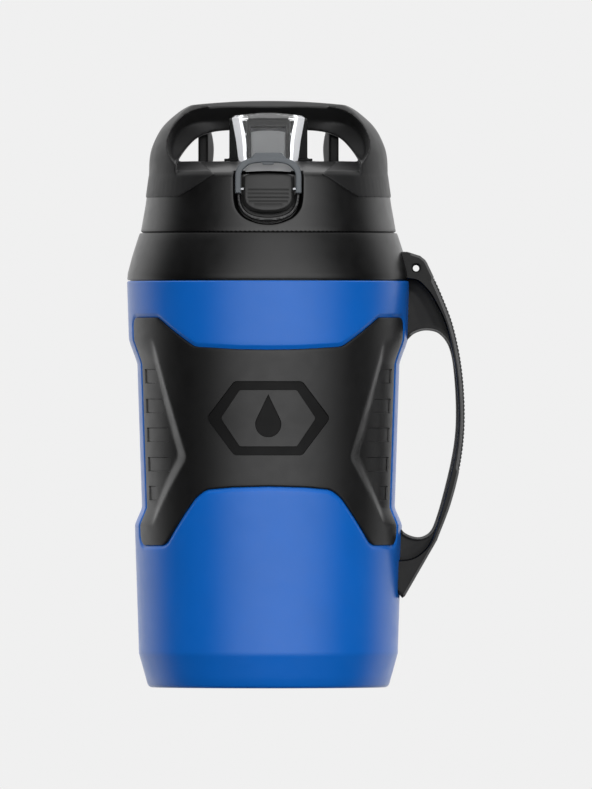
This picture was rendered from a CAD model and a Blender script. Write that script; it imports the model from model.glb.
import math

import bmesh
import bpy
import numpy as np
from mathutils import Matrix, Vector
from mathutils.geometry import delaunay_2d_cdt


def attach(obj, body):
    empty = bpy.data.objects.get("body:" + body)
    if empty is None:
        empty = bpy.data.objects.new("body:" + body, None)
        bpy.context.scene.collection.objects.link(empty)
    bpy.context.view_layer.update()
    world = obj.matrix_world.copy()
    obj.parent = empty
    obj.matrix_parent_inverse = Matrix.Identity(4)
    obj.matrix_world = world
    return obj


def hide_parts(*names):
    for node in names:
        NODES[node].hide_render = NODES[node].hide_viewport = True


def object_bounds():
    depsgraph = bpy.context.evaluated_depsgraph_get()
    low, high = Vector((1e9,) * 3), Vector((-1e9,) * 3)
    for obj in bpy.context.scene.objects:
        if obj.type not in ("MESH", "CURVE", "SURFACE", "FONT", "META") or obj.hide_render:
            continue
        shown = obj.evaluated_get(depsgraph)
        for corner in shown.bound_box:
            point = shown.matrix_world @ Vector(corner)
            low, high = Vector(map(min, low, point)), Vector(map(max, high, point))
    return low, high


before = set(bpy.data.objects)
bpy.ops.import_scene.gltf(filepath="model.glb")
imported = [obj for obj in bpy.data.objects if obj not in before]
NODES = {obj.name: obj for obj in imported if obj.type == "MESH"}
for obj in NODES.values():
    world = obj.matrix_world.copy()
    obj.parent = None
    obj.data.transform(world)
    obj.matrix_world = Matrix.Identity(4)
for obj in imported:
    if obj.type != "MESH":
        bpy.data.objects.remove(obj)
cad_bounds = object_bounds()

MM = 0.001

# Shapes are in millimetres, in the CAD frame: -y is the jug's front and +x its right as seen from
# there. Bump depths, welding distances, the floor and the camera are in metres. "Proud" is
# measured outwards from a wall and "depth" inwards. A profile round an outline is a list of
# (distance from it, depth) points, with the distance negative inside.

# The body: a conical wall above a chamfered foot. It is laid flat while it is meshed, as points
# of (arc, height) with arc 0 at the front.
FOOT_R = 60.0
CHAMFER_Z = 17.0
CHAMFER_R = 64.7
BODY_TOP_Z = 203.0
BODY_TOP_R = 70.7
UNROLL_R = 67.0  # radius at which the wall is laid flat
HALF_TURN = math.pi * UNROLL_R
LIP_PROFILE = [(-0.4, 2.3), (0.0, 1.05), (0.4, 0.84), (1.5, 0.22), (1.9, 0.06), (2.3, 0.0)]

# Finger scoops in the body's sides. Each edge of a scoop has a point on it, as (arc from the
# side's middle, height), its outward normal, and the width of the ramp inside it.
SCOOP_DEPTH = 3.85
SCOOP_LOW_Z, SCOOP_HIGH_Z = 79.4, 176.0
SCOOP_EDGES = [
    ((0, 174), (0, 1), 12.5), ((0, 81), (0, -1), 9.0),
    ((61.8, 116.5), (0.935, 0.355), 8.0), ((61.8, 113.5), (0.778, -0.628), 8.0),
]

# Rubber grips, with finger grooves given as (height, x of the inner end), and the debossed mark.
GRIP_TOP_Z, GRIP_FOOT_Z = 184.8, 71.0
GRIP_THICKNESS = 2.25
GRIP_SIDE_Y = 18.0  # the grips end this far from the side handle's plane
GRIP_PROFILE = [(-1.1, 0.1), (-0.6, 0.16), (-0.3, 0.34), (-0.12, 0.75), (-0.06, 2.1)]
GROOVES = [(155.4, 55.5), (140.6, 52.0), (126.2, 49.2), (111.5, 48.5), (97.1, 55.2)]
GROOVE_START_X = 61.7
GROOVE_LEAN = 0.036
GROOVE_HALF = 3.6
GROOVE_PROFILE = [(-0.35, 0.6), (0.0, 0.0)]
EMBLEM_Z = 134.5
EMBLEM_PROFILE = [(-0.2, 0.55), (0.0, 0.0)]

# Outside of the lid, as (radius, height) from its bottom edge to its middle.
LID_PROFILE = np.array([
    (61.5, 227.3), (63.0, 227.3), (63.45, 227.5), (63.72, 228.0), (61.5, 240.5), (59.5, 254.6),
    (59.2, 255.7), (58.6, 256.6), (57.7, 257.4), (46.0, 262.2), (24.0, 263.0), (3.0, 263.2),
    (0.0, 263.2),
])
LID_SIDE = LID_PROFILE[3:9]
LID_STEPS = np.linalg.norm(np.diff(LID_PROFILE, axis=0), axis=1)
LID_T = np.concatenate([[0], np.cumsum(LID_STEPS)])  # distance along the profile
LID_UNROLL_R = 60.0
LID_WALL = 1.2

# Latch bay in the lid's front, and the insert in it with its raised U-shaped rib. The insert's
# faces are given as proud of the lid's side wall; so are the button's.
BAY_PROFILE = [(-0.6, 5.5), (-0.35, 1.3), (-0.1, 0.35), (0.15, 0.08), (0.5, 0.0)]
BAY_TOP_Z = 257.9
INSERT_TOP_Z = 257.0
INSERT_FRONT, INSERT_BACK = -4.6, -5.2
RIB_RISE = 5.4
RIB_TOP_Z = 247.0

# Release button: soft grooves given as (height, half length), and a pocket for its spring.
BUTTON_GROOVES = [(248.2, 10.9), (246.3, 10.9), (244.2, 10.9), (242.3, 10.5), (240.6, 8.0)]
BUTTON_GROOVE_HALF, BUTTON_GROOVE_DEPTH = 0.62, 0.38
BUTTON_BACK = -2.2
POCKET_FLOOR = -0.3
SPRING_Z = 246.5

# Front of the clear cap, as (y, height).
CAP_FRONT = np.array([(-58.0, 250), (-57.2, 259.8), (-51.5, 276), (-46.5, 284)])

# Side handle: half thickness, lanyard hole, and the ribbed strip let into the outer edge.
HANDLE_HALF = 12.0
HANDLE_ROOT_X = 61.5
LANYARD_X, LANYARD_Z, LANYARD_R = 73.8, 209.4, 1.6
STRIP_LOW_Z, STRIP_HIGH_Z = 108.0, 205.0
STRIP_SHOW = 1.0  # the handle's own edge is set back this far along the strip
STRIP_DEPTH = 1.6
STRIP_RIB = 0.36
STRIP_PITCH = 2.0

# Radiance of the studio's parts.
FRONT_LIGHT = 1.9
FRONT_TURN = 8.0  # degrees that the front box stands to the right
REAR_LIGHT = 1.0
TOP_LIGHT = 1.2
DIM_LIGHT = 0.01
PAPER = 0.871


# --- Materials ---

def link(tree, a, a_socket, b, b_socket):
    tree.links.new(a.outputs[a_socket], b.inputs[b_socket])


def new_material(name):
    material = bpy.data.materials.new(name)
    material.use_nodes = True
    tree = material.node_tree
    shader = tree.nodes["Principled BSDF"]
    place = tree.nodes.new("ShaderNodeTexCoord")
    return material, tree, shader, place


def noise(tree, place, scale, detail=3.0, stretch=(1, 1, 1)):
    mapping = tree.nodes.new("ShaderNodeMapping")
    mapping.inputs["Scale"].default_value = stretch
    link(tree, place, "Object", mapping, "Vector")
    texture = tree.nodes.new("ShaderNodeTexNoise")
    texture.inputs["Scale"].default_value = scale
    texture.inputs["Detail"].default_value = detail
    link(tree, mapping, "Vector", texture, "Vector")
    return texture


def map_range(tree, source, socket, from_to, low, high, interpolation="LINEAR"):
    """Map a value between the two of from_to to low..high."""
    node = tree.nodes.new("ShaderNodeMapRange")
    node.interpolation_type = interpolation
    node.inputs["From Min"].default_value, node.inputs["From Max"].default_value = from_to
    node.inputs["To Min"].default_value = low
    node.inputs["To Max"].default_value = high
    link(tree, source, socket, node, "Value")
    return node


def spread(tree, texture, low, high):
    """Map the usual range of a noise texture to low..high."""
    return map_range(tree, texture, "Fac", (0.3, 0.7), low, high)


def coat(tree, shader, tone, tone_ends, gloss, gloss_ends):
    """Two-tone colour from one noise texture and uneven gloss from another."""
    mix = tree.nodes.new("ShaderNodeMix")
    mix.data_type = "RGBA"
    for socket, colour in zip("AB", tone_ends):
        mix.inputs[socket].default_value = (*colour, 1)
    link(tree, spread(tree, tone, 0.0, 1.0), "Result", mix, "Factor")
    link(tree, mix, "Result", shader, "Base Color")
    link(tree, spread(tree, gloss, *gloss_ends), "Result", shader, "Roughness")


def moulded(name, colour, roughness, grain, depth=0.00003, mottle=0.06, specular=0.5):
    """Moulded plastic or rubber: a fine spark-eroded grain, faint mottling and uneven gloss."""
    material, tree, shader, place = new_material(name)
    shader.inputs["Specular IOR Level"].default_value = specular
    clouds = noise(tree, place, 38, detail=4)
    dark = [c * (1 - mottle) for c in colour]
    light = [min(1.0, c * (1 + mottle)) for c in colour]
    streaks = noise(tree, place, 160, detail=2)
    coat(tree, shader, clouds, (dark, light), streaks, (roughness - 0.03, roughness + 0.03))
    pits = noise(tree, place, grain, detail=2)
    bump = tree.nodes.new("ShaderNodeBump")
    bump.inputs["Strength"].default_value = 0.5
    bump.inputs["Distance"].default_value = depth
    link(tree, pits, "Fac", bump, "Height")
    link(tree, bump, "Normal", shader, "Normal")
    return material


def steel_material():
    """Brushed steel of the pins and springs."""
    material, tree, shader, place = new_material("brushed_steel")
    shader.inputs["Metallic"].default_value = 1.0
    lines = noise(tree, place, 900, detail=2, stretch=(0.05, 1, 1))
    tones = (0.46, 0.47, 0.49), (0.62, 0.63, 0.65)
    coat(tree, shader, lines, tones, lines, (0.24, 0.36))
    return material


def clear_material():
    """Clear, faintly smoked plastic of the flip cap, pearly white on its flared sides."""
    material, tree, shader, place = new_material("clear_smoke")
    shader.inputs["IOR"].default_value = 1.3
    shader.inputs["Emission Color"].default_value = (0.95, 0.96, 1.0, 1.0)
    geometry = tree.nodes.new("ShaderNodeNewGeometry")
    split = tree.nodes.new("ShaderNodeSeparateXYZ")
    link(tree, geometry, "True Normal", split, "Vector")
    sideways = tree.nodes.new("ShaderNodeMath")
    sideways.operation = "ABSOLUTE"
    link(tree, split, "X", sideways, 0)
    by_facing = {"Transmission Weight": (1.0, 0.05), "Emission Strength": (0.0, 0.42)}
    for target, (front, side) in by_facing.items():
        value = map_range(tree, sideways, "Value", (0.45, 0.75), front, side)
        link(tree, value, "Result", shader, target)
    haze = noise(tree, place, 55, detail=3)
    tones = (0.90, 0.905, 0.91), (0.95, 0.955, 0.96)
    coat(tree, shader, haze, tones, haze, (0.02, 0.05))
    return material


BLACK = (0.004, 0.004, 0.0042)

# Moulded materials have a name, colour, roughness and grain scale.
MATERIALS = {
    "blue": moulded("blue_shell_paint", (0.0045, 0.172, 0.73), 0.31, 1500, mottle=0.03),
    "black": moulded("black_plastic", BLACK, 0.34, 1700, mottle=0.10, specular=0.55),
    "lid": moulded("lid_plastic", BLACK, 0.33, 1700, mottle=0.10, specular=0.75),
    "collar": moulded("collar_plastic", BLACK, 0.33, 1700, mottle=0.10, specular=0.6),
    "handle": moulded("handle_plastic", BLACK, 0.36, 1600, mottle=0.10, specular=0.24),
    "deep": moulded("deep_black", (0.003, 0.003, 0.0032), 0.50, 1500, mottle=0.10, specular=0.16),
    "edge": moulded("burnished_edge", (0.022, 0.022, 0.0225), 0.33, 1600, mottle=0.08,
                    specular=0.8),
    "soft": moulded("soft_black", (0.018, 0.018, 0.0185), 0.42, 1300, mottle=0.10, specular=0.36),
    "grip": moulded("grip_rubber", (0.006, 0.006, 0.0063), 0.40, 1100, depth=0.00004,
                    mottle=0.10, specular=0.62),
    "emblem": moulded("debossed_mark", BLACK, 0.55, 1100, specular=0.22),
    "button": moulded("button_rubber", (0.020, 0.020, 0.020), 0.45, 1200, specular=0.6),
    "spout": moulded("spout_plastic", (0.22, 0.225, 0.23), 0.35, 1800),
    "slate": moulded("slate_plastic", (0.120, 0.135, 0.150), 0.36, 2000),
    "silicone": moulded("grey_silicone", (0.070, 0.070, 0.074), 0.45, 900),
    "panel": moulded("smoke_panel", (0.33, 0.335, 0.34), 0.40, 1500),
    "strip": moulded("ribbed_strip", (0.010, 0.010, 0.0105), 0.5, 1200, mottle=0.12),
    "white": moulded("white_liner", (0.78, 0.79, 0.80), 0.30, 900, mottle=0.02),
    "foam": moulded("poured_foam", (0.72, 0.62, 0.38), 0.85, 500, depth=0.0004, mottle=0.12),
    "steel": steel_material(),
    "clear": clear_material(),
}

# The CAD nodes of each material.
NODE_MATERIALS = {
    "blue": ["outer_shell", "base_cap"],
    "black": ["foam_plug", "side_handle", "lid_shell", "lid_inner", "chug_spout", "hinge_tower",
              "latch_frame", "cap_frame"],
    "foam": ["foam_insulation"],
    "white": ["inner_liner"],
    "collar": ["collar"],
    "grip": ["front_grip", "rear_grip", "handle_grip_strip"],
    "silicone": ["lid_gasket", "vent_valve", "cap_seal"],
    "soft": ["carry_handle"],
    "steel": ["hinge_pin", "cap_spring", "button_spring", "bail_pins"],
    "clear": ["flip_cap"],
    "slate": ["lock_bail"],
    "button": ["release_button"],
}


def dress_cad_nodes():
    """Give every CAD node its material; those that a skin stands for are hidden later."""
    for material, names in NODE_MATERIALS.items():
        for name in names:
            for slot in NODES[name].material_slots:
                slot.material = MATERIALS[material]


# --- Flat outlines ---

def subdivided(points, step):
    """The closed loop with extra points so that no side is longer than step."""
    result = []
    for a, b in zip(points, np.roll(points, -1, axis=0)):
        parts = max(1, math.ceil(np.linalg.norm(b - a) / step))
        for k in range(parts):
            result.append(a + (b - a) * k / parts)
    return np.array(result)


def rounded_loop(corners, step=1.0):
    """Closed loop of points round (x, y, corner radius) corners, with arcs at the corners."""
    points = []
    count = len(corners)
    for i in range(count):
        before, here, after = (np.array(corners[(i + k) % count][:2], float) for k in (-1, 0, 1))
        radius = corners[i][2]
        to_before, to_after = ((p - here) / np.linalg.norm(p - here) for p in (before, after))
        half = math.acos(np.clip(np.dot(to_before, to_after), -1, 1)) / 2
        reach = radius / math.tan(half) if half < math.pi / 2 - 1e-3 else 0.0
        if reach <= 0.01:
            points.append(here)
            continue
        inward = (to_before + to_after) / np.linalg.norm(to_before + to_after)
        middle = here + inward * radius / math.sin(half)
        start = here + to_before * reach - middle
        end = here + to_after * reach - middle
        sweep = math.pi - 2 * half
        turn = math.copysign(1, start[0] * end[1] - start[1] * end[0])
        across = np.array([-start[1], start[0]])
        steps = max(3, int(radius * sweep / step * 1.6))
        for k in range(steps + 1):
            a = turn * sweep * k / steps
            points.append(middle + start * math.cos(a) + across * math.sin(a))
    return subdivided(np.array(points), step)


def grown(loop, distance):
    """The loop moved outwards along its normals; inwards for a negative distance."""
    area = np.sum(loop[:, 0] * np.roll(loop[:, 1], -1) - np.roll(loop[:, 0], -1) * loop[:, 1])
    side = np.roll(loop, -1, axis=0) - np.roll(loop, 1, axis=0)
    side /= np.linalg.norm(side, axis=1)[:, None]
    outward = np.stack([side[:, 1], -side[:, 0]], axis=1) * math.copysign(1, area)
    return loop + outward * distance


def signed_distance(points, loop):
    """Distance of each point to a closed loop, negative inside it."""
    nearest = np.full(len(points), 1e9)
    inside = np.zeros(len(points), bool)
    for (ax, ay), (bx, by) in zip(loop, np.roll(loop, -1, axis=0)):
        dx, dy = bx - ax, by - ay
        length = dx * dx + dy * dy
        if length < 1e-12:
            continue
        t = np.clip(((points[:, 0] - ax) * dx + (points[:, 1] - ay) * dy) / length, 0, 1)
        gap = np.hypot(points[:, 0] - ax - t * dx, points[:, 1] - ay - t * dy)
        nearest = np.minimum(nearest, gap)
        crosses = (ay > points[:, 1]) != (by > points[:, 1])
        if abs(dy) > 1e-12:
            at_x = ax + (points[:, 1] - ay) * dx / dy
            inside ^= crosses & (points[:, 0] < at_x)
    return np.where(inside, -nearest, nearest)


def smooth_path(points, step):
    """Smooth open path through the points, with extra points every step or so."""
    points = np.array(points, float)
    padded = np.concatenate([[2 * points[0] - points[1]], points, [2 * points[-1] - points[-2]]])
    result = []
    for p0, p1, p2, p3 in zip(padded, padded[1:], padded[2:], padded[3:]):
        reach = np.linalg.norm(p2 - p1)
        count = max(1, math.ceil(reach / step))
        m1, m2 = (span / max(np.linalg.norm(span), 1e-6) * reach for span in (p2 - p0, p3 - p1))
        for k in range(count):
            t = k / count
            result.append((2 * t ** 3 - 3 * t ** 2 + 1) * p1 + (t ** 3 - 2 * t ** 2 + t) * m1
                          + (3 * t ** 2 - 2 * t ** 3) * p2 + (t ** 3 - t ** 2) * m2)
    result.append(points[-1])
    return np.array(result)


def mirrored(half):
    """The left-hand copies of right-hand points, in the opposite order."""
    return [(-point[0], *point[1:]) for point in reversed(half)]


def bowl_loop(side, top, step=0.5):
    """Symmetric loop: a smooth bowl, from its right half downwards, closed by a line of points."""
    bowl = smooth_path(side + mirrored(side[:-1]), step)
    roof = mirrored([point for point in top if point[0] > 0]) + top
    return subdivided(np.concatenate([bowl, np.array(roof, float)]), step)


def along_profile(distance, profile):
    """Depth at a distance from an outline."""
    return np.interp(distance, [d for d, _ in profile], [h for _, h in profile])


# --- Meshes ---

def level(s_values, z):
    """Points at one height."""
    return np.stack([s_values, np.full(len(s_values), z)], axis=1)


def upright(s, z_values):
    """Points on one vertical line."""
    return np.stack([np.full(len(z_values), s), z_values], axis=1)


def grid_points(s_low, s_high, z_values, spacing):
    """Staggered rows of points."""
    rows = []
    columns = round((s_high - s_low) / spacing)
    for i, z in enumerate(z_values):
        shift = 0.5 if i % 2 else 0.0
        rows.append(level(s_low + (np.arange(columns) + shift) * (s_high - s_low) / columns, z))
    return np.concatenate(rows)


def flat_mesh(points, loops, clearance=0.45):
    """Triangulate free points and closed loops together, with every loop kept as edges."""
    loop_points = np.concatenate(loops)
    keep = np.ones(len(points), bool)
    batch = 4000  # keeps the table of gaps small
    for start in range(0, len(points), batch):
        part = points[start:start + batch]
        gaps = np.linalg.norm(part[:, None, :] - loop_points[None, :, :], axis=2).min(axis=1)
        keep[start:start + batch] = gaps > clearance
    all_points = [Vector(p) for p in points[keep]]
    edges = []
    for loop in loops:
        first = len(all_points)
        all_points.extend(Vector(p) for p in loop)
        edges.extend((first + k, first + (k + 1) % len(loop)) for k in range(len(loop)))
    verts, _, faces, _, _, _ = delaunay_2d_cdt(all_points, edges, [], 0, 1e-5)
    return np.array([tuple(v) for v in verts]), [tuple(face) for face in faces]


def renumbered(points, faces):
    """Only the points that the faces use, and the faces that point at them."""
    used = sorted({v for face in faces for v in face})
    number = {v: k for k, v in enumerate(used)}
    return np.array([points[v] for v in used]), [tuple(number[v] for v in face) for face in faces]


def within(loop):
    """Test that points are inside a loop."""
    return lambda points: signed_distance(points, loop) < 0


def region_mesh(loops, spacing, inside):
    """Triangulated flat region: the faces whose middles satisfy inside(points)."""
    low = np.min([loop.min(axis=0) for loop in loops], axis=0)
    high = np.max([loop.max(axis=0) for loop in loops], axis=0)
    rows = np.arange(low[1] - spacing, high[1] + spacing, spacing * 0.87)
    points = grid_points(low[0] - spacing, high[0] + spacing, rows, spacing)
    flat, faces = flat_mesh(points, loops, clearance=spacing * 0.4)
    middles = np.array([flat[list(face)].mean(axis=0) for face in faces])
    return renumbered(flat, [face for face, good in zip(faces, inside(middles)) if good])


def bent(radius, angle, z):
    """Points at angles round the jug's axis, from its front, in metres."""
    return np.stack([radius * np.sin(angle), -radius * np.cos(angle), z], axis=1) * MM


def upended(flat, y):
    """Points of a front view at their depth y, in metres."""
    return np.stack([flat[:, 0], y, flat[:, 1]], axis=1) * MM


def thickened(front, back, faces):
    """Closed shell from two matching sheets: both sheets and a wall round every free edge."""
    count = len(front)
    sides = {}  # in the order in which they are met
    for face in faces:
        for a, b in zip(face, face[1:] + face[:1]):
            sides[(a, b)] = True
    shell = list(faces) + [tuple(v + count for v in reversed(face)) for face in faces]
    for a, b in sides:
        if (b, a) not in sides:
            shell.append((b, a, a + count, b + count))
    return list(front) + list(back), shell


def plate(outline, y_front, y_back, rounding, spacing=0.55):
    """Flat plate seen from the front, with its edges rounded over: vertices and faces."""
    loops = [outline] + [grown(outline, -rounding * share) for share in (0.25, 0.6, 1.0)]
    flat, faces = region_mesh(loops, spacing, within(outline))
    share = np.clip(-signed_distance(flat, outline) / rounding, 0, 1)
    drop = rounding * 0.9 * (1 - np.sqrt(1 - (1 - share) ** 2))
    return thickened(upended(flat, y_front + drop), upended(flat, y_back - drop), faces)


def join_parts(parts):
    """One list of vertices and faces from several."""
    verts, faces = [], []
    for part_verts, part_faces in parts:
        shift = len(verts)
        verts.extend(part_verts)
        faces.extend(tuple(v + shift for v in face) for face in part_faces)
    return verts, faces


def quads(rows, columns, first=0, closed_rows=False, closed_columns=False):
    """Four-sided faces between points that are numbered row by row from first."""
    faces = []
    for i in range(rows if closed_rows else rows - 1):
        here, there = first + i * columns, first + (i + 1) % rows * columns
        for j in range(columns if closed_columns else columns - 1):
            k = (j + 1) % columns
            faces.append((here + j, there + j, there + k, here + k))
    return faces


def add_object(name, data):
    """New object in the scene."""
    thing = bpy.data.objects.new(name, data)
    bpy.context.scene.collection.objects.link(thing)
    return thing


def mesh_object(name, verts, faces, material):
    """Object from vertices and faces, smooth but for its sharp edges."""
    sharp = math.radians(32)
    mesh = bpy.data.meshes.new(name)
    mesh.from_pydata([tuple(v) for v in verts], [], [tuple(f) for f in faces])
    piece = add_object(name, mesh)
    mesh.materials.append(MATERIALS[material])
    tidy = bmesh.new()
    tidy.from_mesh(mesh)
    bmesh.ops.remove_doubles(tidy, verts=tidy.verts, dist=0.00002)
    bmesh.ops.recalc_face_normals(tidy, faces=tidy.faces)
    for face in tidy.faces:
        face.smooth = True
    for edge in tidy.edges:
        if len(edge.link_faces) == 2:
            edge.smooth = edge.calc_face_angle(0) < sharp
    tidy.to_mesh(mesh)
    tidy.free()
    return piece


def mark_faces(piece, material, marked):
    """Second material on the marked faces."""
    piece.data.materials.append(MATERIALS[material])
    piece.data.polygons.foreach_set("material_index", marked.astype(np.int32))


def light_edges(piece, chosen):
    """Brighter material on the faces whose middles, seen from the front, are chosen."""
    polygons = piece.data.polygons
    middles = np.array([(p.center.x / MM, p.center.z / MM) for p in polygons])
    facing = np.array([abs(p.normal.y) > 0.3 for p in polygons])
    mark_faces(piece, "edge", chosen(middles) & facing)


# --- Body and grips ---

def wall_radius(z):
    """Plain outer radius of the body at a height, in millimetres."""
    slope = (BODY_TOP_R - CHAMFER_R) / (BODY_TOP_Z - CHAMFER_Z)
    foot_slope = (CHAMFER_R - FOOT_R) / CHAMFER_Z
    return np.where(z > CHAMFER_Z, CHAMFER_R + (z - CHAMFER_Z) * slope, FOOT_R + z * foot_slope)


def smoothed(value):
    """Ramp from 0 to 1 with softened ends."""
    t = np.clip(value, 0, 1)
    return 0.75 * t + 0.25 * (3 * t ** 2 - 2 * t ** 3)


def scoop_depth(s, z):
    """Depth of the finger scoops: the lesser of four ramps, softly blended."""
    angle = np.abs((np.degrees(s / UNROLL_R) + 180) % 360 - 180)
    u = np.radians(np.abs(angle - 90)) * UNROLL_R  # arc from the middle of the side
    ramps = np.stack([
        ((edge_u - u) * across + (edge_z - z) * up) / width
        for (edge_u, edge_z), (across, up), width in SCOOP_EDGES
    ])
    sharpness = 9
    soft_min = -np.log(np.exp(-sharpness * np.clip(ramps, -3, 3)).sum(axis=0)) / sharpness
    return SCOOP_DEPTH * smoothed(soft_min)


def arc_of(x, z, depth=0.0):
    """Unrolled arc of a front-view x on the wall, or on the scoop's floor."""
    return UNROLL_R * np.arcsin(np.clip(x / (wall_radius(z) - depth), -1, 1))


def wrapped(flat, depth):
    """Points of the unrolled wall bent round the jug's axis, sunk by a depth, in metres."""
    s, z = flat[:, 0], flat[:, 1]
    radius = wall_radius(z) - scoop_depth(s, z) - depth
    return bent(radius, s / UNROLL_R, z)


def scoop_points(bands, row_step, spacing):
    """Finer grids over the scoops, each between two shares of half a turn."""
    rows = np.arange(SCOOP_LOW_Z, SCOOP_HIGH_Z, row_step)
    return [grid_points(low * HALF_TURN, high * HALF_TURN, rows, spacing) for low, high in bands]


def panel_loop():
    """Outline of a grip panel on the unrolled wall, centred on arc 0."""
    top_arc, foot_arc = (
        UNROLL_R * math.acos(GRIP_SIDE_Y / float(wall_radius(z))) for z in (GRIP_TOP_Z, GRIP_FOOT_Z)
    )

    def on_wall(corners):
        return [(float(arc_of(x, z)), z, radius) for x, z, radius in corners]

    upper = on_wall([(16.0, 168.95, 90.0), (37.0, 170.2, 9.0), (55.6, GRIP_TOP_Z, 5.0)])
    ends = [(top_arc, GRIP_TOP_Z, 5.0), (foot_arc, GRIP_FOOT_Z, 6.0)]
    lower = on_wall([(51.5, GRIP_FOOT_Z, 9.0), (36.6, 94.6, 9.0), (31.5, 98.7, 10.0),
                     (19.0, 99.9, 90.0)])
    half = upper + ends + lower
    return rounded_loop(half + [(0.0, 100.4, 0.0)] + mirrored(half) + [(0.0, 168.7, 0.0)])


def groove_loops():
    """Finger grooves on the scoop's floor, on both sides of a grip."""
    loops = []
    for z, x_end in GROOVES:
        start_x = GROOVE_START_X - GROOVE_LEAN * (GROOVES[0][0] - z)
        start, end = (float(arc_of(x, z, SCOOP_DEPTH)) for x in (start_x, x_end))
        low, high = z - GROOVE_HALF, z + GROOVE_HALF
        for side in (-1, 1):
            loops.append(rounded_loop([
                (side * start, low, 0.4), (side * start, high, 0.4),
                (side * end, high, 2.2), (side * end, low, 2.2),
            ]))
    return loops


def hexagon(half_width, shoulder, half_height, radius):
    """Long six-sided loop round the mark's middle, with rounded corners."""
    corners = [(-half_width, 0), (-shoulder, half_height), (shoulder, half_height),
               (half_width, 0), (shoulder, -half_height), (-shoulder, -half_height)]
    return rounded_loop([(x, EMBLEM_Z + z, radius) for x, z in corners])


def drop_loop():
    """Water drop: most of a circle, with two tangents that meet above it."""
    radius, middle_z, tip_z = 6.5, EMBLEM_Z - 3, EMBLEM_Z + 12
    lean = math.acos(radius / (tip_z - middle_z))
    steps = 30
    points = [(0.0, tip_z)]
    for k in range(steps + 1):
        a = math.pi / 2 - lean - (2 * math.pi - 2 * lean) * k / steps
        points.append((radius * math.cos(a), middle_z + radius * math.sin(a)))
    return subdivided(np.array(points), 1.0)


def emblem_loops():
    """A plain water drop inside a long six-sided ring, on the unrolled wall."""
    half_width, shoulder, half_height, band = 31.0, 17.0, 18.5, 4.5
    outer = hexagon(half_width, shoulder, half_height, 3.0)
    inner = hexagon(half_width - 1.65 * band, shoulder - 0.62 * band, half_height - band, 1.5)
    loops = [outer, inner, drop_loop()]
    for loop in loops:
        loop[:, 0] = arc_of(loop[:, 0], loop[:, 1])
    return loops


def build_shell():
    """Blue outer shell: wall, foot, scoops and the bevelled recesses of both grips."""
    seam = HALF_TURN / 2  # the wall is cut open down the middle of its left side
    s_low, s_high = -seam, 3 * seam
    panel = panel_loop()
    loops = []
    for centre in (0.0, HALF_TURN):
        for distance, _ in LIP_PROFILE:
            loops.append(grown(panel, distance) + np.array([centre, 0]))
    rows = np.concatenate([np.arange(20, 62, 6.0), np.arange(62, 192, 2.6), [194.5, 199.5]])
    points = [grid_points(s_low, s_high, rows, 2.9)]
    points += scoop_points([(-0.5, -0.18), (0.18, 0.82), (1.18, 1.5)], 1.3, 1.4)
    ring = np.linspace(s_low, s_high, 151)
    for z in (0.0, 0.6, 1.6, 6.0, 11.0, 15.6, CHAMFER_Z, 18.4, 202.4, BODY_TOP_Z):
        points.append(level(ring, z))
    for s in (s_low, s_high):
        points.append(upright(s, np.arange(20.0, 202.0, 1.3)))
    flat, faces = flat_mesh(np.concatenate(points), loops)
    to_front, to_rear = (signed_distance(flat - [s, 0], panel) for s in (0.0, HALF_TURN))
    distance = np.minimum(to_front, to_rear)
    rounding = np.interp(flat[:, 1], [0, 0.6, 1.6, 202.4, BODY_TOP_Z], [1.2, 0.35, 0.0, 0.0, 0.5])
    verts = list(wrapped(flat, along_profile(distance, LIP_PROFILE) + rounding))
    add_shell_ends(verts, faces, ring / UNROLL_R)
    piece = mesh_object("outer_shell_skin", verts, faces, "blue")
    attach(piece, "jug")
    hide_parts("outer_shell")


def add_shell_ends(verts, faces, angles):
    """Close the shell: foot ring, inner wall and the upstand under the collar."""
    profile = [
        (FOOT_R - 1.2, 0), (55.5, 0), (55.5, 3.4), (59.0, 8), (62.4, 60), (60.0, 92), (61.5, 170),
        (63.6, 201.5), (63.6, 208.8), (67.0, 208.8), (67.0, BODY_TOP_Z),
        (BODY_TOP_R - 0.5, BODY_TOP_Z),
    ]
    first = len(verts)
    for radius, z in profile:
        verts.extend(bent(radius, angles, np.full(len(angles), z)))
    faces.extend(quads(len(profile), len(angles), first))


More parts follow.
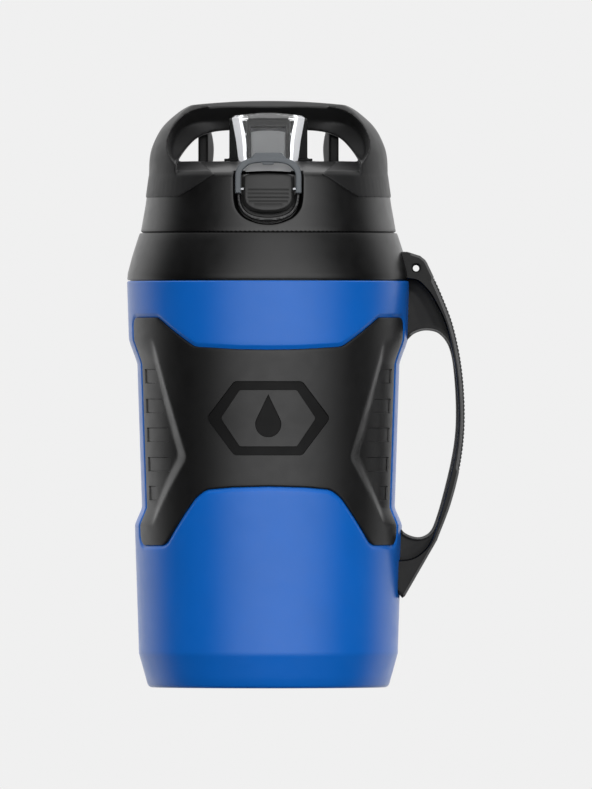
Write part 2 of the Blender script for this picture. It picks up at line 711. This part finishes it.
def build_grip(name, turned_back, with_emblem):
    """Rubber grip panel with rounded border, finger grooves and, in front, the debossed mark."""
    panel = panel_loop()
    grooves = groove_loops()
    loops = [grown(panel, distance) for distance, _ in GRIP_PROFILE]
    for loop in grooves:
        loops += [grown(loop, distance) for distance, _ in GROOVE_PROFILE]
    if with_emblem:
        outer, inner, drop = emblem_loops()
        loops += [outer, grown(outer, -0.2), inner, grown(inner, 0.2), drop, grown(drop, -0.2)]
    points = [grid_points(-95, 95, np.arange(66, 190, 2.6), 2.8)]
    points += scoop_points([(-0.5, -0.18), (0.18, 0.5)], 1.25, 1.35)
    flat, faces = flat_mesh(np.concatenate(points), loops)
    distance = signed_distance(flat, panel)
    depth = along_profile(distance, GRIP_PROFILE)
    for loop in grooves:
        depth += along_profile(signed_distance(flat, loop), GROOVE_PROFILE)
    if with_emblem:
        ring = np.maximum(signed_distance(flat, outer), -signed_distance(flat, inner))
        depth += along_profile(ring, EMBLEM_PROFILE)
        depth += along_profile(signed_distance(flat, drop), EMBLEM_PROFILE)
    rim = GRIP_PROFILE[-1][0] + 0.02
    kept = [face for face in faces if all(distance[v] < rim for v in face)]
    sheet, kept = renumbered(np.column_stack([flat, depth]), kept)
    front = wrapped(sheet[:, :2], sheet[:, 2])
    back = wrapped(sheet[:, :2], np.full(len(sheet), GRIP_THICKNESS))
    verts, faces = thickened(front, back, kept)
    if turned_back:
        verts = np.array(verts) * np.array([-1, -1, 1])
    piece = mesh_object(name + "_skin", verts, faces, "grip")
    if with_emblem:
        darken_emblem(piece, outer, inner, drop)
    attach(piece, "jug")
    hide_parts(name)


def darken_emblem(piece, outer, inner, drop):
    """Duller material on the floor of the debossed mark."""
    centres = np.array([
        (UNROLL_R * math.atan2(p.center.x, -p.center.y), p.center.z / MM)
        for p in piece.data.polygons
    ])
    in_ring = (signed_distance(centres, outer) < -0.1) & (signed_distance(centres, inner) > 0.1)
    mark_faces(piece, "emblem", in_ring | (signed_distance(centres, drop) < -0.1))


def build_collar():
    """Black collar between the body and the lid, with low ridges that close both seams."""
    profile = [
        (64.0, 202.4), (68.9, 202.4), (69.0, 203.45), (69.9, 203.45), (70.35, 203.6),
        (70.55, 204.1), (70.3, 207.0), (68.2, 215.0), (65.8, 222.6), (64.55, 226.3),
        (64.3, 226.75), (63.9, 226.95), (62.95, 227.0), (62.85, 227.25), (61.45, 227.25),
        (61.4, 227.9), (60.8, 227.9), (60.75, 226.9), (56.0, 226.9), (53.0, 226.9), (53.0, 226.0),
        (60.0, 222.0), (64.0, 209.0),
    ]
    segments = 192
    verts = []
    for i in range(segments):
        a = 2 * math.pi * i / segments
        verts.extend((r * math.cos(a) * MM, r * math.sin(a) * MM, z * MM) for r, z in profile)
    faces = quads(segments, len(profile), closed_rows=True, closed_columns=True)
    piece = mesh_object("collar_skin", verts, faces, "collar")
    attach(piece, "jug")
    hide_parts("collar")


# --- Lid, latch, bail and cap panel ---

def lid_point(t):
    """Radius and height on the lid's outside, at a distance along its profile."""
    return np.interp(t, LID_T, LID_PROFILE[:, 0]), np.interp(t, LID_T, LID_PROFILE[:, 1])


def on_lid_side(flat, proud):
    """Points of a front view laid on the lid's side wall, proud of it by a margin, in metres."""
    radius = np.interp(flat[:, 1], LID_SIDE[:, 1], LID_SIDE[:, 0]) + proud
    return upended(flat, -np.sqrt(np.maximum(radius ** 2 - flat[:, 0] ** 2, 0)))


def bay_loop():
    """Front-view outline of the bay round the latch."""
    return bowl_loop([
        (17.6, 260), (17.6, 250), (17.3, 243), (16.0, 238.3), (12.6, 234.4), (8.3, 232.3),
        (4, 231.1), (0, 230.8),
    ], [(0, 261)])


def rib_loops():
    """Front-view outlines of the U-shaped rib: outside and inside."""
    outside = bowl_loop([
        (15.75, 258), (15.75, 250), (15.6, 244), (14.5, 239.3), (11.9, 236.0), (8.3, 233.9),
        (4, 232.9), (0, 232.6),
    ], [(0, 259)])
    inside = bowl_loop([
        (14.15, 258), (14.15, 250), (14.0, 244), (13.0, 240.2), (10.7, 237.3), (7.4, 235.6),
        (3.6, 234.8), (0, 234.6),
    ], [(0, 258.5)])
    return outside, inside


def button_loops():
    """Front-view outlines of the button and of its face."""
    button = bowl_loop([
        (12.9, 254.8), (13.1, 252), (13.0, 246.1), (12.6, 241.8), (10.9, 239.2), (7.4, 237.5),
        (3.6, 236.8), (0, 236.7),
    ], [(0, 256.8), (6, 256.5), (11.4, 255.9), (12.5, 255.5)])
    face = bowl_loop([
        (11.7, 254.7), (11.9, 252), (11.8, 246), (11.3, 242.7), (9.6, 240.5), (6.6, 238.9),
        (3.2, 238.2), (0, 238.1),
    ], [(0, 256.4), (6, 256.1), (10.6, 255.6), (11.4, 255.3)])
    return button, face


def build_lid():
    """Lid shell: side wall, rounded rim and domed deck, with a sunk bay round the button."""
    edge = math.pi * LID_UNROLL_R
    bay = bay_loop()
    bay = bay[bay[:, 1] < BAY_TOP_Z]
    bay_t = np.interp(bay[:, 1], LID_PROFILE[:, 1], LID_T)
    bay_arc = LID_UNROLL_R * np.arcsin(bay[:, 0] / lid_point(bay_t)[0])
    loop = np.stack([bay_arc, bay_t], axis=1)
    loops = [grown(loop, distance) for distance, _ in BAY_PROFILE]
    rows = np.sort(np.concatenate([LID_T[:-1], np.arange(3.6, 31, 2.0)]))
    points = [grid_points(-edge, edge, rows, 2.2), grid_points(-24, 24, np.arange(5, 31, 1.0), 1.1)]
    points += [upright(s, rows) for s in (-edge, edge)]
    flat, faces = flat_mesh(np.concatenate(points), loops)
    radius, height = lid_point(flat[:, 1])
    radius = radius - along_profile(signed_distance(flat, loop), BAY_PROFILE)
    verts = bent(radius, flat[:, 0] / LID_UNROLL_R, height)
    piece = mesh_object("lid_shell_skin", verts, faces, "lid")
    wall = piece.modifiers.new("wall", "SOLIDIFY")
    wall.thickness = LID_WALL * MM
    wall.offset = -1
    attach(piece, "lid")
    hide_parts("lid_shell")


def build_latch_frame():
    """Insert in the lid's front: sunk plate with a raised U-shaped rib round the button."""
    edge = grown(bay_loop(), -0.3)
    rib_out, rib_in = rib_loops()
    loops = [edge, rib_out, grown(rib_out, -0.3), grown(rib_out, 0.15), rib_in, grown(rib_in, 0.3),
             grown(rib_in, -0.15)]

    def inside(points):
        return (signed_distance(points, edge) < 0) & (points[:, 1] < INSERT_TOP_Z)

    def on_rib(points):
        to_rib = np.maximum(signed_distance(points, rib_out), -signed_distance(points, rib_in))
        return (to_rib < 0.05) & (points[:, 1] < RIB_TOP_Z - 0.6)

    flat, faces = region_mesh(loops, 0.7, inside)
    into_rib = np.minimum(-signed_distance(flat, rib_out), signed_distance(flat, rib_in))
    rise = np.interp(into_rib, [-0.15, 0.0, 0.3, 0.8], [0.0, 0.72, 0.95, 1.0])
    fade = np.clip(RIB_TOP_Z - flat[:, 1], 0, 1)
    front = on_lid_side(flat, INSERT_FRONT + rise * fade * RIB_RISE)
    verts, faces = thickened(front, on_lid_side(flat, INSERT_BACK), faces)
    piece = mesh_object("latch_frame_skin", verts, faces, "black")
    light_edges(piece, on_rib)
    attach(piece, "lid")
    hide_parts("latch_frame")


def build_button():
    """Release button: bevelled border round a crowned face with five soft finger grooves."""
    outline, face_loop = button_loops()
    loops = [outline, grown(outline, -0.25), face_loop, grown(face_loop, -0.3)]
    flat, faces = region_mesh(loops, 0.55, within(outline))
    to_edge = -signed_distance(flat, outline)
    past_face = signed_distance(flat, face_loop)
    share = np.clip(to_edge / (to_edge + np.maximum(past_face, 0) + 1e-6), 0, 1)
    proud = np.interp(share, [0, 0.12, 1], [-0.9, -0.35, 0.75])
    proud = proud + np.interp(-past_face, [0, 0.3], [0, 0.08])
    for z, half in BUTTON_GROOVES:
        across = np.clip(1 - np.abs(flat[:, 1] - z) / BUTTON_GROOVE_HALF, 0, 1)
        along = np.clip((half - np.abs(flat[:, 0])) / 0.8, 0, 1)
        proud = proud - BUTTON_GROOVE_DEPTH * across * along
    from_spring = np.hypot(flat[:, 0], flat[:, 1] - SPRING_Z)
    under = np.interp(from_spring, [3.9, 4.6], [POCKET_FLOOR, BUTTON_BACK])
    verts, faces = thickened(on_lid_side(flat, proud), on_lid_side(flat, under), faces)
    piece = mesh_object("release_button_skin", verts, faces, "button")
    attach(piece, "button")
    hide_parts("release_button")


def build_bail():
    """Lock bail: arched wire loop with a thumb tab on top and a small stop under its crown."""
    outer = [(16.5, 246.4), (16.5, 252), (16.4, 256), (15.7, 258.8), (14.3, 261), (12.6, 262.5),
             (10, 263.5), (4.8, 264.3), (0, 264.4)]
    inner = [(13.6, 246.4), (13.6, 252), (13.5, 255.6), (12.6, 257.9), (10.0, 260.3), (7.5, 261.2),
             (4.8, 261.6), (0, 261.8)]
    arch_out, arch_in = (smooth_path(half + mirrored(half[:-1]), 0.5) for half in (outer, inner))
    band = subdivided(np.concatenate([arch_out, arch_in[::-1]]), 0.5)
    tab = [(6.4, 266.6, 0.6), (9.4, 263.3, 0.3)]
    stop = [(3.1, 262.4, 0.2), (2.8, 260.7, 0.5)]
    verts, faces = join_parts([
        plate(band, y_front=-64.55, y_back=-62.05, rounding=0.7, spacing=0.5),
        plate(rounded_loop(tab + mirrored(tab), 0.5), -64.3, -62.4, 0.5),
        plate(rounded_loop(stop + mirrored(stop), 0.4), -64.1, -62.4, 0.3),
    ])
    piece = mesh_object("lock_bail_skin", verts, faces, "slate")
    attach(piece, "bail")
    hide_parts("lock_bail")


def build_tongue():
    """Pale latch tongue at the foot of the cap's front, between the bail and the button."""
    rows = [(257.6, 11.2, -60.6), (258.4, 11.6, -60.4), (260.2, 11.3, -59.6), (261.2, 10.2, -59.0),
            (261.4, 9.4, -58.3)]  # height, half width and y
    thickness, crown, steps = 1.3, 0.006, 24
    front = []
    for z, half, y in rows:
        sag = 0.004 if z < 258 else 0.0
        for k in range(steps + 1):
            x = half * (2 * k / steps - 1)
            front.append((x * MM, (y + crown * x * x) * MM, (z - sag * x * x) * MM))
    back = [(x, y + thickness * MM, z) for x, y, z in front]
    verts, faces = thickened(front, back, quads(len(rows), steps + 1))
    piece = mesh_object("cap_tongue_skin", verts, faces, "panel")
    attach(piece, "cap")


def build_cap_panel():
    """Grey panel with an arched top behind the clear front of the cap."""
    foot_z, half_width, corner_z = 259.6, 9.7, 275.6
    arch = [(0, 277.6), (5, 277.4), (8.2, 276.9)]
    right = arch + [(half_width, corner_z), (half_width, foot_z)]
    loop = subdivided(np.array(right + mirrored(right[1:])), 0.8)
    flat, faces = region_mesh([loop], 1.2, within(loop))
    set_back, crown, thickness = 2.6, 0.004, 1.2
    y = np.interp(flat[:, 1], CAP_FRONT[:, 1], CAP_FRONT[:, 0]) + set_back + crown * flat[:, 0] ** 2
    bevel = 0.4 * (1 - np.clip(-signed_distance(flat, loop) / 0.8, 0, 1))
    verts, faces = thickened(upended(flat, y + bevel), upended(flat, y + thickness), faces)
    piece = mesh_object("cap_panel_skin", verts, faces, "panel")
    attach(piece, "cap")
    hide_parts("cap_frame")


# --- Side handle ---

def handle_back():
    """Outer edge of the side handle, from the top down, and its direction into the handle."""
    curve = smooth_path([
        (79.3, 212.1), (86.5, 196.5), (92.6, 180), (96.9, 158), (98.2, 133.5), (96.3, 113),
        (91.4, 92.5), (84.3, 73.5),
    ], 1.0)
    along = np.gradient(curve, axis=0)
    along /= np.linalg.norm(along, axis=1)[:, None]
    return curve, np.stack([along[:, 1], -along[:, 0]], axis=1)


def handle_loops(curve, inward):
    """Front-view loops of the side handle: its edge, its sunk zone, and the finger opening."""
    opening = smooth_path([
        (65.4, 80.4), (68.6, 76.9), (75, 75), (80.0, 77), (82.8, 81.5), (87.6, 97.5), (92.2, 118),
        (93.7, 133.5), (92.9, 155), (90.4, 169.5), (85.5, 176.5), (79.3, 178.3), (73.3, 176.9),
        (69.2, 173.4),
    ], 1.0)
    zone = smooth_path([
        (62, 63.2), (71, 64), (76.5, 67), (80.8, 72), (84.6, 82), (89.0, 97.5), (93.5, 118),
        (95.0, 133.5), (94.2, 152), (92.4, 165), (88.6, 181.5), (82.3, 194.7), (78.4, 199.8),
        (73.9, 203.4), (62, 204.5),
    ], 1.0)
    past_ends = np.minimum(curve[:, 1] - STRIP_LOW_Z, STRIP_HIGH_Z - curve[:, 1])
    inset = np.clip(past_ends / 1.5, 0, 1) * STRIP_SHOW
    edge = curve + inward * inset[:, None]
    foot = [(68.2, 45.5), (66.9, 44.6), (64.3, 47.5), (63.0, 49), (63.0, 79)]
    shoulder = [(66.6, 173.4), (66.6, 204), (65.5, 211), (63.8, 217.8), (69.5, 217.6),
                (75.8, 215.6), (78.3, 213.6)]
    outline = subdivided(np.concatenate([edge, foot, opening, shoulder]), 1.0)
    zone_ends = [(HANDLE_ROOT_X, zone[-1, 1]), (HANDLE_ROOT_X, zone[0, 1])]
    zone_loop = subdivided(np.concatenate([zone, zone_ends]), 1.5)
    opening_loop = subdivided(np.concatenate([opening, [(40, 173.4), (40, 79.5)]]), 1.5)
    return outline, zone_loop, opening_loop


def build_side_handle(curve, inward):
    """Side handle: bevelled plates above and below, joined by a bow with a sunk inner zone."""
    outline, zone, opening = handle_loops(curve, inward)
    angles = np.linspace(0, 2 * math.pi, 40, endpoint=False)
    hole = np.stack([LANYARD_X + LANYARD_R * np.cos(angles),
                     LANYARD_Z + LANYARD_R * np.sin(angles)], axis=1)
    loops = [outline, hole, grown(hole, 0.5), grown(hole, 0.8)]
    loops += [grown(outline, distance) for distance in (-0.3, -1.15)]
    in_handle = np.maximum(zone, [HANDLE_ROOT_X, 0])
    loops += [grown(in_handle, distance) for distance in (0.5, 0.0, -0.3)]

    def inside(points):
        return (signed_distance(points, outline) < 0) & (signed_distance(points, hole) > 0)

    def on_bevel(points):
        return ((np.abs(signed_distance(points, outline) + 0.7) < 0.45)
                & (points[:, 0] > np.where(points[:, 1] > 120, 71.0, 67.2)))

    flat, faces = region_mesh(loops, 0.95, inside)
    to_edge = -signed_distance(flat, outline)
    into_zone = -signed_distance(flat, zone)
    half = HANDLE_HALF - np.interp(to_edge, [0, 0.3, 1.5], [1.3, 0.35, 0.0])
    half = half - np.interp(signed_distance(flat, hole), [0, 0.5, 0.8], [0.7, 0.15, 0.0])
    sunk = np.interp(into_zone, [-0.5, 0.0, 0.3, 2.0, 6.0, 12.0], [0, 0.8, 3.2, 3.8, 4.7, 5.2])
    half = np.where(into_zone > -0.5, np.minimum(half, HANDLE_HALF - sunk), half)
    to_opening = signed_distance(flat, opening)
    rim = np.interp(to_opening, [0, 0.3, 0.8, 1.3, 1.9], [1.0, 0.1, 0.0, 0.15, 0.6])
    half = half - rim * (into_zone > 0.2) * 0.8
    verts, faces = thickened(upended(flat, -half), upended(flat, half), faces)
    piece = mesh_object("side_handle_skin", verts, faces, "handle")
    light_edges(piece, on_bevel)
    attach(piece, "jug")
    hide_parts("side_handle")


def build_handle_strip(curve, inward):
    """Rubber strip with fine cross ribs let into the handle's outer edge."""
    keep = (curve[:, 1] > STRIP_LOW_Z) & (curve[:, 1] < STRIP_HIGH_Z)
    curve, inward = curve[keep], inward[keep]
    lengths = np.concatenate([[0], np.cumsum(np.linalg.norm(np.diff(curve, axis=0), axis=1))])
    steps = np.arange(0, lengths[-1], 0.5)
    middle, inwards = (
        np.stack([np.interp(steps, lengths, line[:, k]) for k in (0, 1)], axis=1)
        for line in (curve, inward)
    )
    rib = STRIP_RIB * (0.5 - 0.5 * np.cos(2 * math.pi * steps / STRIP_PITCH)) ** 1.5
    section = [(0.0, -8.2), (0.25, -8.8), (STRIP_DEPTH, -9.0), (STRIP_DEPTH, 9.0), (0.25, 8.8),
               (0.0, 8.2)]  # depth and y round the strip
    verts = []
    for depth, y in section:
        ribbed = depth < STRIP_DEPTH
        points = middle + inwards * (depth + rib * ribbed)[:, None]
        verts.extend((x * MM, y * MM, z * MM) for x, z in points)
    count, rows = len(steps), len(section)
    faces = quads(rows, count, closed_rows=True)
    faces.append(tuple(row * count for row in reversed(range(rows))))
    faces.append(tuple(row * count + count - 1 for row in range(rows)))
    piece = mesh_object("handle_strip_skin", verts, faces, "strip")
    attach(piece, "jug")
    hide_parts("handle_grip_strip")


# --- Softened copies of CAD parts ---

# Body, slot, material, voxel size and smoothing passes of each.
SOFTENED = {
    "carry_handle": ("lid", "soft_black", "soft", 0.55, 8),
    "hinge_tower": ("lid", "black_plastic", "deep", 0.4, 3),
    "chug_spout": ("lid", "slate_plastic", "spout", 0.4, 3),
    "flip_cap": ("cap", "clear_cap", "clear", 0.3, 5),
    "cap_frame": ("cap", "black_plastic", "black", 0.35, 3),
}


def build_softened(name):
    """Copy of a CAD part with its edges rounded over and its facets smoothed out."""
    body, slot, material, voxel, passes = SOFTENED[name]
    mesh = NODES[name].data.copy()
    weld = bmesh.new()
    weld.from_mesh(mesh)
    bmesh.ops.remove_doubles(weld, verts=weld.verts, dist=0.000002)
    weld.to_mesh(mesh)
    weld.free()
    rough = add_object(name + "_rough", mesh)
    remesh = rough.modifiers.new("voxels", "REMESH")
    remesh.mode = "VOXEL"
    remesh.voxel_size = voxel * MM
    remesh.use_smooth_shade = True
    smooth = rough.modifiers.new("soft_edges", "SMOOTH")
    smooth.factor = 0.5
    smooth.iterations = passes
    graph = bpy.context.evaluated_depsgraph_get()
    soft_mesh = bpy.data.meshes.new_from_object(rough.evaluated_get(graph))
    bpy.data.objects.remove(rough)
    soft_mesh.materials.clear()
    soft_mesh.materials.append(MATERIALS[material])
    piece = add_object(name + "_skin", soft_mesh)
    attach(piece, body)
    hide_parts(name)


# --- Stage, light and camera ---

def ramp(tree, source, socket, from_to, low, high):
    """Soft step of a value: low before the first of from_to, high past the second."""
    return map_range(tree, source, socket, from_to, low, high, "SMOOTHSTEP")


def maths(tree, operation, a, b):
    """Maths node on two node results or plain numbers."""
    node = tree.nodes.new("ShaderNodeMath")
    node.operation = operation
    for socket, value in zip(node.inputs, (a, b)):
        if isinstance(value, (int, float)):
            socket.default_value = value
        else:
            tree.links.new(value.outputs[0], socket)
    return node


def mix_backdrop(tree, lighting, seen, socket, output_type):
    """Keep the backdrop an even pale tone where it is seen, whatever light it gives the jug."""
    path = tree.nodes.new("ShaderNodeLightPath")
    mix = tree.nodes.new("ShaderNodeMixShader")
    output = tree.nodes.new(output_type)
    link(tree, path, "Is Camera Ray", mix, "Fac")
    tree.links.new(lighting.outputs[socket], mix.inputs[1])
    tree.links.new(seen.outputs[0], mix.inputs[2])
    tree.links.new(mix.outputs[0], output.inputs["Surface"])


def build_world():
    """Studio round the jug: a soft box in front, dark corners beside it, bright rear and top."""
    world = bpy.data.worlds.new("studio")
    bpy.context.scene.world = world
    world.use_nodes = True
    tree = world.node_tree
    tree.nodes.clear()
    place = tree.nodes.new("ShaderNodeTexCoord")
    split = tree.nodes.new("ShaderNodeSeparateXYZ")
    link(tree, place, "Generated", split, "Vector")
    towards = tree.nodes.new("ShaderNodeVectorMath")
    towards.operation = "DOT_PRODUCT"
    link(tree, place, "Generated", towards, 0)
    turn = math.radians(FRONT_TURN)
    towards.inputs[1].default_value = (math.sin(turn), -math.cos(turn), 0)
    # Every ramp runs over one part of the direction: forwards, backwards or upwards.
    front = maths(tree, "MULTIPLY", ramp(tree, towards, "Value", (0.45, 1.02), 0.0, FRONT_LIGHT),
                  ramp(tree, split, "Z", (-0.45, -0.10), 0.0, 1.0))
    rear = maths(tree, "MULTIPLY", ramp(tree, split, "Y", (0.05, 0.60), 0.0, REAR_LIGHT),
                 ramp(tree, split, "Z", (-0.8, -0.2), 0.2, 1.0))
    above = ramp(tree, split, "Z", (0.55, 0.95), 0.0, TOP_LIGHT)
    total = maths(tree, "ADD", maths(tree, "ADD", front, rear), above)
    total = maths(tree, "ADD", total, DIM_LIGHT)
    studio, paper = (tree.nodes.new("ShaderNodeBackground") for _ in range(2))
    for background in (studio, paper):
        background.inputs["Color"].default_value = (1, 1, 1, 1)
    link(tree, total, "Value", studio, "Strength")
    paper.inputs["Strength"].default_value = PAPER
    mix_backdrop(tree, studio, paper, "Background", "ShaderNodeOutputWorld")


def build_floor():
    """Plain pale floor, larger than any view of the jug."""
    bpy.ops.mesh.primitive_circle_add(vertices=96, radius=40, fill_type="NGON")
    floor = bpy.context.object
    floor.name = "studio_floor"
    floor.location.z = -0.0003
    material = bpy.data.materials.new("studio_paper")
    material.use_nodes = True
    tree = material.node_tree
    tree.nodes.clear()
    unlit = tree.nodes.new("ShaderNodeBsdfTransparent")
    paper = tree.nodes.new("ShaderNodeEmission")
    paper.inputs["Strength"].default_value = PAPER
    mix_backdrop(tree, unlit, paper, "BSDF", "ShaderNodeOutputMaterial")
    floor.data.materials.append(material)


def build_camera():
    """Long lens at the height of the jug's middle, square to its front. Sizes are in metres."""
    distance = 13.0
    frame_height = 0.3945  # of the view at the jug
    low = cad_bounds[0]
    data = bpy.data.cameras.new("camera")
    data.sensor_width = 36.0
    data.lens = data.sensor_width * distance / frame_height
    data.clip_end = 100
    camera = add_object("camera", data)
    camera.location = (low[0] + 0.0845, -distance, low[2] + 0.1463)
    camera.rotation_euler = (math.radians(90), 0, 0)
    bpy.context.scene.camera = camera


bpy.context.scene.view_settings.view_transform = "Standard"
build_camera()
dress_cad_nodes()
build_shell()
build_grip("front_grip", turned_back=False, with_emblem=True)
build_grip("rear_grip", turned_back=True, with_emblem=False)
build_collar()
build_lid()
build_latch_frame()
build_button()
build_bail()
build_tongue()
build_cap_panel()
back_curve, back_inward = handle_back()
build_side_handle(back_curve, back_inward)
build_handle_strip(back_curve, back_inward)
for part in SOFTENED:
    build_softened(part)
build_floor()
build_world()
